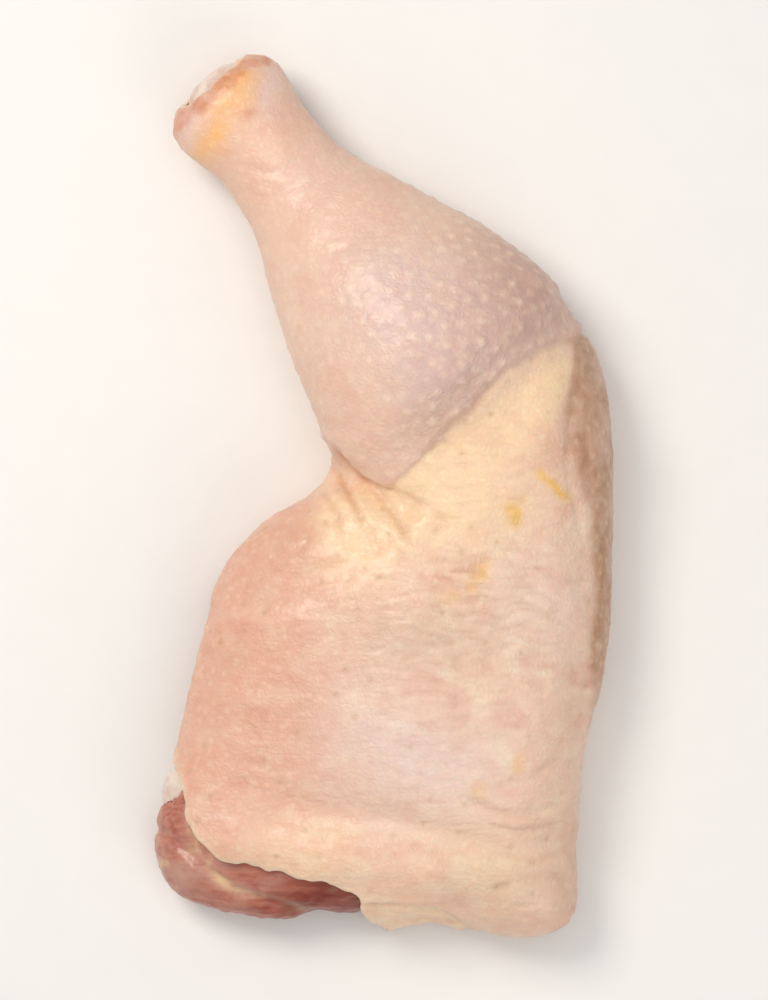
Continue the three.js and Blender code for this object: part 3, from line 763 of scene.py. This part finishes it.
# Where each tone of the skin lies, with painted shade and painted light among them
skinTones = {
    "patches": {  # share, x, y and reach each way
        # the last fat patch, at the lower right, is painted light in the shade of the flap's fold
        "fat": [
            (0.9, 20, 0, 18, 12), (0.7, -3, -12, 9, 9), (0.3, 8, 3, 7, 5), (0.55, -18, -86, 14, 10),
            (0.16, 34, -26, 20, 30), (0.30, 22, -82, 22, 14), (0.3, 30, -90, 9, 6),
        ],
        "lessFat": [(0.3, 27, 15, 7, 7)],
        "lavender": [(0.9, 20, 43, 22, 18), (0.8, 6, 52, 15, 15), (0.5, 13, 27, 11, 8)],
        "cool": [(0.9, 14, -64, 19, 14), (0.8, 40, -24, 11, 15), (0.4, -2, -52, 12, 12)],
        # greyer beige: painted shade over the wrinkled middle of the thigh and the creased lower right
        "paintedWrinkleShade": [(0.8, 12, -32, 20, 9), (1.1, 31, -91, 12, 8)],
        "pink": [(0.35, -20, -10, 10, 8)],
        "lessPink": [(0.7, -18, -86, 14, 10)],
        # painted light: a light peach along the lower rim, which slopes away from the key light
        "paintedRimLight": [(1.0, 6, -97, 26, 6)],
        # tan patches; the one at the thigh's upper left is painted shade on a face that the key light
        # brightens
        "tanAndShade": [(0.35, 27, 16, 8, 8), (0.3, 42, 14, 6, 12), (0.22, -19, -9, 9, 7)],
        "spot": [
            (1.5, 34, -2.5, 2.0, 2.7), (0.9, 26.4, -16, 2.0, 2.7), (0.5, 24, -21, 1.8, 2.2),
            (0.5, 18.5, -23, 2.0, 2.0), (0.4, 37, 1, 1.2, 1.2), (0.6, 36, -63, 1.8, 2.2),
            (0.45, 26, -69, 1.6, 2.2),
        ],
        "film": [(1.0, -43, 94, 3.5, 6), (0.8, -26, 101, 4, 6), (0.4, -13, 79, 9, 7)],
        "torn": [(0.9, -30.5, 94.5, 1.7, 1.7)],
        # painted shadow in the deep crease of the crotch, below the lobe
        "paintedCreaseShadow": [(0.8, -7, 6, 8, 7)],
    },
    "streaks": {  # share, line, half width
        "fat": (1.1, [(-6, -2), (3, -2), (12, 5), (20, 10), (36, 22), (46, 30)], 8),
        "spot": (1.0, [(41, 7.5), (44, 5), (47.5, 1.5)], 1.3),
        "hockPatch": (1.0, [(-32, 103), (-35, 96), (-37, 91), (-40, 86)], 3.6),
    },
    "shadedTanSide": {  # the thigh is tan right of this edge, which bends in beside the knee; the tan is partly the skin's own and partly painted shade where that side turns down away from the light
        "edge": 52.5, "bend": 7, "bendAt": 22, "bendReach": 20,
        "pale": 0.35, "paleAt": 16, "paleReach": 13,
        "soft": (-0.5, 3.5), "up": (5, 14), "upTheThigh": (-70, 30),
        "usual": 1.2, "vary": [(0.6, (9, 9, 6), 39)],
    },
    "tanCorner": {"share": 0.35, "x": (40, 10), "y": (-62, -20)},  # at the lower right
    "noFat": {"share": 0.9, "soft": (-1.5, 3)},  # beyond the same edge
    "pinkThigh": (2, -26),  # in x
    "pinkShank": {"share": 0.35, "along": (44, -30)},
    "mauveAndShade": {  # right of a leaning edge: the calf's right side, mauve skin over muscle with painted shade where it turns away from the light
        "from": 6, "lean": 0.35, "leanAt": 50, "over": 36,
        "lessAtMargin": 0.55, "marginReach": 7,
    },
    "wander": ((1.8, 9, 23), (1.8, 9, 24)),  # of the tones' edges, along x and along y
    "blush": [(1.7, (9, 6, 9), 26)],
    "paleFat": [(1.7, (8, 5, 8), 27)],
    "layer": [(0.5, 4, 33)],
    "rim": {"width": 1.3, "usual": 0.7, "vary": [(0.6, 4, 28)]},
    "hockRim": {"at": 1.2, "soft": 2.6, "vary": [(1.6, 5, 9)]},
    "cutDepth": (-2.2, 0.8),  # a cut is palest just under the outside
}
wx, wy = (place + waves([wave], points) for place, wave in zip((px, py), skinTones["wander"]))


def patches(name):
    return sum(share * hill(wx, wy, *place) for share, *place in skinTones["patches"][name])


def streak(name):
    share, line, width = skinTones["streaks"][name]
    return share * nearLine(line, width, wx + planShift[0], wy + planShift[1])


# tan on the thigh's right side: partly the skin's own tan, partly painted shade where that side slopes away
# from the light
side = skinTones["shadedTanSide"]
strip = side["edge"] - side["bend"] * bell(wy, side["bendAt"], side["bendReach"])
tanAndShade = ramp(z, *side["up"]) * (side["usual"] + waves(side["vary"], points))
tanAndShade *= ramp(wx - strip, *side["soft"]) * ramp(wy, *side["upTheThigh"])
tanAndShade *= 1 - side["pale"] * bell(wy, side["paleAt"], side["paleReach"])
corner = skinTones["tanCorner"]
tanAndShade += corner["share"] * ramp(wx, *corner["x"]) * ramp(wy, *corner["y"])
tanAndShade = thighShare * (tanAndShade + patches("tanAndShade"))
fat = thighShare * (streak("fat") + patches("fat"))
noFat = skinTones["noFat"]
fat *= 1 - noFat["share"] * ramp(wx - strip, *noFat["soft"]) - patches("lessFat")
pink = thighShare * (ramp(wx, *skinTones["pinkThigh"]) * (1 - patches("lessPink")) + patches("pink"))
shank = skinTones["pinkShank"]
pink += shank["share"] * calfShare * ramp(along, *shank["along"])
# mauve on the calf's right side, partly its own tone and partly painted shade on the side away from the
# light
tone = skinTones["mauveAndShade"]
mauveAndShade = calfShare * easeStep((wx - tone["from"] - tone["lean"] * (wy - tone["leanAt"])) / tone["over"])
mauveAndShade *= 1 - tone["lessAtMargin"] * bell(fromMargin, 0, tone["marginReach"])
blush = (0.35 + 0.65 * thighShare) * easeStep(waves(skinTones["blush"], points) - 0.25)
paleFat = (0.25 + 0.75 * thighShare) * easeStep(waves(skinTones["paleFat"], points) - 0.2)
paleFat *= 1 - 0.65 * pink
crease = np.minimum(carved, 1)
rim, tone = skinTones["rim"], skinTones["hockRim"]
hockRim = easeStep((tone["at"] + waves(tone["vary"], points) - along) / tone["soft"])
rimLine = bell(sampled(fromCut, grid, points), 0, rim["width"]) * (rim["usual"] + waves(rim["vary"], points))
outsideMasks = {
    "fat": fat,
    "lavender": calfShare * patches("lavender"),
    "mauveAndShade": mauveAndShade,
    "cool": thighShare * patches("cool"),
    # painted shade over the wrinkled parts of the thigh
    "paintedWrinkleShade": thighShare * patches("paintedWrinkleShade"),
    "pore": pore,
    "follicle": follicle * (0.25 + plump) * np.clip(bumpSize, 0, 1),
    # painted shade in the valleys between the wrinkles and along the carved creases
    "paintedValleyShade": np.clip(-2.2 * wrinkles - 0.1, 0, 1) + 0.5 * thighShare * crease,
    "blush": blush,
    "paleFat": paleFat,
    "pink": pink,
    # painted light on the lower rim
    "paintedRimLight": thighShare * patches("paintedRimLight"),
    "tanAndShade": tanAndShade,
    "spot": patches("spot") + streak("spot"),
}
masks = {
    "hockPatch": streak("hockPatch"),
    "film": patches("film"),
    # torn: the hock's torn rim and a torn spot, and painted shadow in the crotch's crease
    "torn": 0.85 * hockRim + patches("torn") + crease * patches("paintedCreaseShadow"),
    "layer": ledge * (0.75 + waves(skinTones["layer"], points)),
    "cut": 1.4 * (1 - outside) * ramp(depth, *skinTones["cutDepth"]) + 0.8 * rimLine,
    "loose": thighShare,
}
masks.update((key, mask * outside) for key, mask in outsideMasks.items())
hidden = skin["hidden"]
hiddenSide = (depth < hidden["deeper"]) | ((z < hidden["lower"]) & (normals[:, 2] < hidden["facing"]))
skinPiece = pieceFrom("skin_sleeve", points, faces, masks, hiddenSide)
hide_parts("skin")


# The flesh under it: bare at the thigh's lower left, at the hock and on the underside
meat = {
    "grid": 0.8,
    "hockCut": -5.0,
    "cutRound": 1.0,
    "fibreTurn": 58,  # degrees: the thigh's strands run from the hip up to the knee
    "fibreBend": [(0.8, 9, 12)],
    "strands": [(1.0, (16, 2.2, 2.2), 13)],
    "strandHeight": 0.22,
    "strandSink": 0.7,
    "lumps": [(1.0, 8, 14)],
    "lumpHeight": 0.25,
    "lumpSink": 0.4,
    "highest": 0.25,
    "overTable": (0.4, 2),  # it is carved only this far from the table and from the skin's outside
    "underSkin": (0.9, 1.2),
    "bareEdge": (-0.5, -2),  # from the edge of the bare underside
    "skinEdge": (-2, 3),
    "seams": [  # line, half width
        ([(-60, -76), (-46, -84), (-34, -93.5), (-18, -99.5), (0, -105)], 1.5),
        ([(-40, -60), (-44, -72), (-42, -87)], 1.1),
    ],
    "seamDepth": 1.1,
    "seamUp": (3, 6),  # in height
    "grooveWidth": 2.4,
    "sinew": [(2.0, 14, 15)],
    "fatGrains": [(2.4, (17, 4.5, 5), 16)],
    "seamFat": [(1.0, 6, 30)],
    "membrane": (-47, -87, 13, 12),  # x, y and reach each way
    "membraneVary": [(0.7, 7, 38)],
    # darker red meat under the skin's lower rim: partly its own deeper red, partly painted shadow under the
    # rim
    "deep": (-10, -98, 15, 9),
    "seen": {"under": 22, "lower": -84, "left": -30},  # beyond these it keeps all its faces
}
bones = {
    "each": {
        "shin_bone": {
            "from": (-36.6, 99.8, 14.4), "to": (21, 28.4, 22.4),
            "shaft": 4.4, "knuckle": 5.4, "spread": 3.6, "knee": 8.6,
        },
        "thigh_bone": {
            "from": (-44, -71, 8.8), "to": (16, -14, 20),
            "shaft": 4.6, "knuckle": 7.2, "spread": 0.0, "knee": 8.4,
        },
    },
    "grid": 0.75,
    "boxReach": 11,  # their boxes go this far past their ends
    "gap": 0.3,  # to the flesh
    "kneeFrom": (0.8, 0.2),  # shares of the length
    "cleft": 1.2,  # how softly the knuckles meet, and then the shaft and the knuckles
    "neck": 5.0,
    "waves": [(0.18, 3.2, 17), (0.25, 7, 18)],
    "pastKnuckle": 6,  # how far the cartilage goes on
    "cartilageFade": 4,
    "seen": 22,  # beyond this they get fewer faces
}


def boneDistance(grid, bone):
    start, end = np.array(bone["from"], float), np.array(bone["to"], float)
    start[:2] += planShift
    end[:2] += planShift
    line = end - start
    px, py, pz = grid["x"][..., None] - start[0], grid["y"][..., None] - start[1], grid["z"] - start[2]
    t = np.clip((px * line[0] + py * line[1] + pz * line[2]) / (line @ line), 0, 1)
    away = np.sqrt((px - t * line[0]) ** 2 + (py - t * line[1]) ** 2 + (pz - t * line[2]) ** 2)
    shaft = away - bone["shaft"] - (bone["knee"] - bone["shaft"]) * ramp(t, *bones["kneeFrom"])
    side = np.array([-line[1], line[0]]) / np.hypot(line[0], line[1]) * bone["spread"]
    knuckle = np.full(px.shape[:2] + pz.shape[2:], 99.0)
    for sign in (-1, 1):
        ball = np.sqrt((px - sign * side[0]) ** 2 + (py - sign * side[1]) ** 2 + pz**2) - bone["knuckle"]
        knuckle = softMin(knuckle, ball, bones["cleft"])
    return softMin(shaft, knuckle, bones["neck"])


def alongFibres(points):
    turn = math.radians(meat["fibreTurn"])
    u = points[:, 0] * math.cos(turn) + points[:, 1] * math.sin(turn)
    v = -points[:, 0] * math.sin(turn) + points[:, 1] * math.cos(turn)
    return np.stack([u, v, points[:, 2]], axis=1)


grid = gridOver(leg["low"], leg["high"], meat["grid"])
outer, flesh = legFields(grid)
body = softMax(flesh, -hockField(grid, meat["hockCut"]), meat["cutRound"])
edge = outlineDistance(leg["bareOutline"], grid["x"], grid["y"])
floor = leg["skinThickness"] * ramp(edge, *meat["skinEdge"])[..., None]  # it lies on the skin, or is bare
fleshField = np.maximum(body, floor - grid["z"]).astype(np.float32)
for bone in bones["each"].values():
    fleshField = softMax(fleshField, -(boneDistance(grid, bone) - bones["gap"]).astype(np.float32), 0.8)
points, faces = surfaceNet(fleshField, grid)
normals = normalsOf(fleshField, grid, points)
x, y, z = points.T
px, py = x - planShift[0], y - planShift[1]
fibre = alongFibres(points)
fibre[:, 1:] += waves(meat["fibreBend"], points)[:, None]
under = sampled(outer, grid, points)  # how far below the leg's outside
bare = ramp(outlineDistance(leg["bareOutline"], x, y), *meat["bareEdge"])
seam = np.minimum(sum(nearLine(line, width, x, y) for line, width in meat["seams"]), 1)
lift = meat["strandHeight"] * (np.abs(waves(meat["strands"], fibre)) * 2 - meat["strandSink"])
lift += meat["lumpHeight"] * (waves(meat["lumps"], points) - meat["lumpSink"])
lift = np.minimum(lift, meat["highest"]) - meat["seamDepth"] * seam * ramp(z, *meat["seamUp"])
room = ramp(-under, *meat["underSkin"]) * ramp(z, *meat["overTable"])
points = points + normals * (lift * room)[:, None]
x, y, z = points.T
betweenMuscles = sum(nearLine(line, meat["grooveWidth"], x, y) for line, _, _ in leg["grooves"])
fatGrains = easeStep(waves(meat["fatGrains"], fibre) - 0.9)
masks = {
    "sinew": 0.7 * betweenMuscles + 0.6 * easeStep(waves(meat["sinew"], points) - 0.3),
    "fat": fatGrains + 0.9 * seam * (0.5 + waves(meat["seamFat"], points)),
    "membrane": hill(px, py, *meat["membrane"]) * (0.75 + waves(meat["membraneVary"], points)),
    # deeper red and painted shadow under the skin's rim
    "deep": hill(px, py, *meat["deep"]),
}
edges = meat["seen"]
seen = (bare > 0.01) & (z < edges["under"]) | (py < edges["lower"]) | (px < edges["left"])
meatPiece = pieceFrom("bare_meat", points, faces, masks, ~seen)
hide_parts("flesh")

bonePieces = []
for name, bone in bones["each"].items():
    ends = np.array([bone["from"], bone["to"]], float) + np.append(planShift, 0)
    reach = bones["boxReach"]
    grid = gridOver(ends.min(axis=0) - reach, ends.max(axis=0) + reach, bones["grid"])
    field = boneDistance(grid, bone).astype(np.float32)
    points, faces = surfaceNet(field, grid)
    fromEnd = np.linalg.norm(points - ends[0], axis=1)
    points = points + normalsOf(field, grid, points) * waves(bones["waves"], points)[:, None]
    cartilage = bone["knuckle"] + bones["pastKnuckle"]
    masks = {"cartilage": easeStep((cartilage - fromEnd) / bones["cartilageFade"])}
    unseen = fromEnd > bones["seen"]
    bonePiece = pieceFrom(name.replace("bone", "bone_end"), points, faces, masks, unseen)
    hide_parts(name)
    bonePieces.append(bonePiece)


# What each surface is and how it got that way


def layTints(tree, colour, look, mottle):
    # each tint lies over the colour so far where its mask says, with more or less of it by the mottling
    start, full = look["mottleRange"]
    for key, tint, least, most in look["tints"]:
        mask = addNode(tree, "Attribute", attribute_name=key)
        uneven = addNode(tree, "MapRange", {0: mottle, 1: start, 2: full, 3: least, 4: most})
        share = addNode(tree, "Math", {0: mask.outputs["Fac"], 1: uneven.outputs[0]}, operation="MULTIPLY")
        tinted = {0: share.outputs[0], 6: colour.outputs[2], 7: linearColour(tint)}
        colour = addNode(tree, "Mix", tinted, data_type="RGBA")
    return colour


def wetSurface(piece, material, look, colour, mottle, bump=None):
    # light sinks a little way in, under a wet film that is drier in places
    tree = material.node_tree
    wettest, driest = look["roughness"]
    gloss = addNode(tree, "MapRange", {0: mottle, 1: 0.3, 2: 0.7, 3: wettest, 4: driest})
    shader = addNode(tree, "BsdfPrincipled", {
        "Base Color": colour.outputs[2],
        "Roughness": gloss.outputs[0],
        "IOR": look["ior"],
        "Subsurface Weight": look["glow"],
        "Subsurface Radius": look["glowRadius"],
        "Subsurface Scale": look["glowDepth"],
        "Coat Weight": look["coat"],
        "Coat Roughness": look["coatRoughness"],
    })
    if bump:
        tree.links.new(bump.outputs[0], shader.inputs["Normal"])
    addNode(tree, "OutputMaterial", {0: shader.outputs[0]})
    piece.data.materials.append(material)


skinLook = {
    "base": ("#efcdb7", "#e9c0a8"),
    "tints": [  # mask, colour, least and most of it between the mottling
        ("pink", "#e4ab93", 0.45, 0.9),
        # painted light on the thigh's lower rim
        ("paintedRimLight", "#fbcbad", 0.5, 0.9),
        ("blush", "#dfa48f", 0.2, 0.8),
        ("paleFat", "#f4dcc0", 0.3, 1.0),
        ("cool", "#ecd6cf", 0.5, 1.0),
        # painted shade over the thigh's wrinkles
        ("paintedWrinkleShade", "#d6bca4", 0.4, 1.0),
        ("lavender", "#dabfb9", 0.45, 0.9),
        # mauve, partly painted shade on the calf's right side
        ("mauveAndShade", "#c0968c", 0.4, 0.85),
        # tan, partly painted shade on the thigh's right side
        ("tanAndShade", "#ac7950", 0.5, 0.9),
        ("fat", "#fadab0", 0.55, 1.0),
        ("spot", "#efbe55", 0.5, 1.0),
        ("follicle", "#f6dcc3", 0.25, 0.65),
        ("pore", "#bd986b", 0.25, 0.65),
        # painted shade in wrinkle valleys and creases
        ("paintedValleyShade", "#cfa184", 0.3, 0.8),
        ("film", "#ead5d2", 0.3, 0.9),
        ("hockPatch", "#f9bf7c", 0.5, 1.0),
        # torn rim at the hock, and painted shadow in the crotch's crease
        ("torn", "#cf7f56", 0.35, 0.9),
        ("layer", "#f6dab4", 0.45, 1.0),
        ("cut", "#f2dcbc", 0.9, 1.0),
    ],
    "patterns": [  # pattern, colour, where it starts and is full, and the most of it
        ("blotch", "#d99b86", 0.54, 0.72, 0.22),
        ("grain", "#fbe6c8", 0.42, 0.12, 0.22),
        ("netLine", "#dba994", 0.10, 0.0, 0.11),
    ],
    "mottleRange": (0.32, 0.66),
    "broadWidth": 0.020,  # widths of the patterns, metres
    "mottleWidth": 0.0042,
    "blotchWidth": 0.0075,
    "grainWidth": 0.0026,
    "bendWidth": 0.005,
    "bendReach": 0.002,
    "cellWidth": 0.0015,  # the net of fine lines, a little coarser than real
    "lineWidth": 0.0011,
    "reliefDepth": 0.00016,
    "roughness": (0.34, 0.50),
    "ior": 1.42,
    "glow": 0.3,
    "glowRadius": (1.0, 0.45, 0.28),
    "glowDepth": 0.0015,
    "coat": 0.22,
    "coatRoughness": 0.16,
}


def dressSkin(piece):
    # raw poultry skin, plucked and washed: pale fat shows through in yellow, follicles stand up, wet gloss
    look = skinLook
    material, tree = newMaterial("pluckedSkin")
    place = addNode(tree, "TexCoord").outputs["Object"]
    noises = {}
    for name, detail, rough in (("broad", 4.0, 0.6), ("mottle", 4.0, 0.62), ("blotch", 5.0, 0.72)):
        inputs = {"Vector": place, "Scale": 1 / look[name + "Width"], "Detail": detail, "Roughness": rough}
        noises[name] = addNode(tree, "TexNoise", inputs).outputs["Fac"]
    bend = addNode(tree, "TexNoise", {"Vector": place, "Scale": 1 / look["bendWidth"], "Detail": 2.0})
    inputs = {0: bend.outputs["Color"], 1: (look["bendReach"],) * 3, 2: place}
    bent = addNode(tree, "VectorMath", inputs, operation="MULTIPLY_ADD").outputs["Vector"]
    inputs = {"Vector": place, "Scale": 1 / look["grainWidth"], "Smoothness": 0.6}
    grains = addNode(tree, "TexVoronoi", inputs, feature="SMOOTH_F1").outputs["Distance"]
    inputs = {"Vector": bent, "Scale": 1 / look["cellWidth"]}
    cells = addNode(tree, "TexVoronoi", inputs, feature="DISTANCE_TO_EDGE").outputs["Distance"]
    share = addNode(tree, "MapRange", {0: noises["broad"], 1: 0.34, 2: 0.66})
    under, over = (linearColour(value) for value in look["base"])
    colour = addNode(tree, "Mix", {0: share.outputs[0], 6: under, 7: over}, data_type="RGBA")
    colour = layTints(tree, colour, look, noises["mottle"])
    patterns = {"blotch": noises["blotch"], "grain": grains, "netLine": cells}
    for key, tint, start, full, most in look["patterns"]:
        share = addNode(tree, "MapRange", {0: patterns[key], 1: start, 2: full, 4: most})
        tinted = {0: share.outputs[0], 6: colour.outputs[2], 7: linearColour(tint)}
        colour = addNode(tree, "Mix", tinted, data_type="RGBA")

    # relief too fine for the mesh: the net, and crosswise lines where the skin is loose
    net = addNode(tree, "MapRange", {0: cells, 2: 0.3, 4: 0.7})
    across = addNode(tree, "Mapping", {"Vector": bent, "Scale": (0.22, 1.0, 0.6)})
    inputs = {"Vector": across.outputs[0], "Scale": 1 / look["lineWidth"], "Detail": 3.0}
    lines = addNode(tree, "TexNoise", inputs)
    loose = addNode(tree, "Attribute", attribute_name="loose")
    steep = addNode(tree, "MapRange", {0: loose.outputs["Fac"], 3: 0.5, 4: 1.8})
    inputs = {0: lines.outputs["Fac"], 1: steep.outputs[0], 2: net.outputs[0]}
    height = addNode(tree, "Math", inputs, operation="MULTIPLY_ADD")
    inputs = {"Strength": 0.7, "Distance": look["reliefDepth"], "Height": height.outputs[0]}
    bump = addNode(tree, "Bump", inputs)
    wetSurface(piece, material, look, colour, noises["mottle"], bump)


meatLook = {
    "base": ("#a5503f", "#c27c66"),
    "dark": "#8d3c30",
    "tints": [
        ("membrane", "#c99c8c", 0.4, 0.95),
        ("sinew", "#dcb4a4", 0.1, 0.75),
        ("fat", "#efd3a6", 0.2, 0.9),
        # deeper red and painted shadow under the skin's rim
        ("deep", "#751c08", 0.6, 0.85),
    ],
    "mottleRange": (0.35, 0.58),
    "strandWidth": 0.0013,
    "mottleWidth": 0.006,
    "reliefDepth": 0.0004,
    "roughness": (0.26, 0.42),
    "ior": 1.4,
    "glow": 0.25,
    "glowRadius": (1.0, 0.25, 0.15),
    "glowDepth": 0.0015,
    "coat": 0.2,
    "coatRoughness": 0.12,
}


def dressMeat(piece):
    # cut dark meat: strands a millimetre or two wide under a wet film, with sinew and fat between
    look = meatLook
    material, tree = newMaterial("cutDarkMeat")
    place = addNode(tree, "TexCoord").outputs["Object"]
    turn = (0, 0, -math.radians(meat["fibreTurn"]))
    turned = addNode(tree, "Mapping", {"Vector": place, "Rotation": turn, "Scale": (0.12, 1, 1)})
    inputs = {"Vector": turned.outputs[0], "Scale": 1 / look["strandWidth"], "Detail": 4.0}
    strand = addNode(tree, "TexNoise", inputs).outputs["Fac"]
    inputs = {"Vector": place, "Scale": 1 / look["mottleWidth"], "Detail": 5.0, "Roughness": 0.6}
    mottle = addNode(tree, "TexNoise", inputs).outputs["Fac"]
    share = addNode(tree, "MapRange", {0: strand, 1: 0.35, 2: 0.65})
    under, over = (linearColour(value) for value in look["base"])
    colour = addNode(tree, "Mix", {0: share.outputs[0], 6: under, 7: over}, data_type="RGBA")
    share = addNode(tree, "MapRange", {0: mottle, 1: 0.52, 2: 0.72, 4: 0.7})
    shaded = {0: share.outputs[0], 6: colour.outputs[2], 7: linearColour(look["dark"])}
    colour = addNode(tree, "Mix", shaded, data_type="RGBA")
    colour = layTints(tree, colour, look, mottle)
    bump = addNode(tree, "Bump", {"Strength": 0.5, "Distance": look["reliefDepth"], "Height": strand})
    wetSurface(piece, material, look, colour, mottle, bump)


boneLook = {
    "bone": ("#d9a593", "#b9695a"),
    "gristle": ("#ebdcd0", "#dec2b4"),
    "mottleWidth": 0.003,
    "roughness": (0.22, 0.36),
    "ior": 1.45,
    "glow": 0.4,
    "glowRadius": (1.0, 0.6, 0.5),
    "glowDepth": 0.0015,
    "coat": 0.2,
    "coatRoughness": 0.1,
}


def dressBone(piece):
    # a joint end: milky cartilage, smooth and wet, over pink bone
    look = boneLook
    material, tree = newMaterial("jointCartilage")
    place = addNode(tree, "TexCoord").outputs["Object"]
    inputs = {"Vector": place, "Scale": 1 / look["mottleWidth"], "Detail": 4.0}
    mottle = addNode(tree, "TexNoise", inputs).outputs["Fac"]
    share = addNode(tree, "MapRange", {0: mottle, 1: 0.4, 2: 0.63})
    tones = []
    for key in ("bone", "gristle"):
        under, over = (linearColour(value) for value in look[key])
        tone = addNode(tree, "Mix", {0: share.outputs[0], 6: under, 7: over}, data_type="RGBA")
        tones.append(tone.outputs[2])
    cartilage = addNode(tree, "Attribute", attribute_name="cartilage")
    colour = addNode(tree, "Mix", {0: cartilage.outputs["Fac"], 6: tones[0], 7: tones[1]}, data_type="RGBA")
    wetSurface(piece, material, look, colour, mottle)


dressSkin(skinPiece)
dressMeat(meatPiece)
for bonePiece in bonePieces:
    dressBone(bonePiece)
print("materials: plucked skin, cut meat, cartilage")
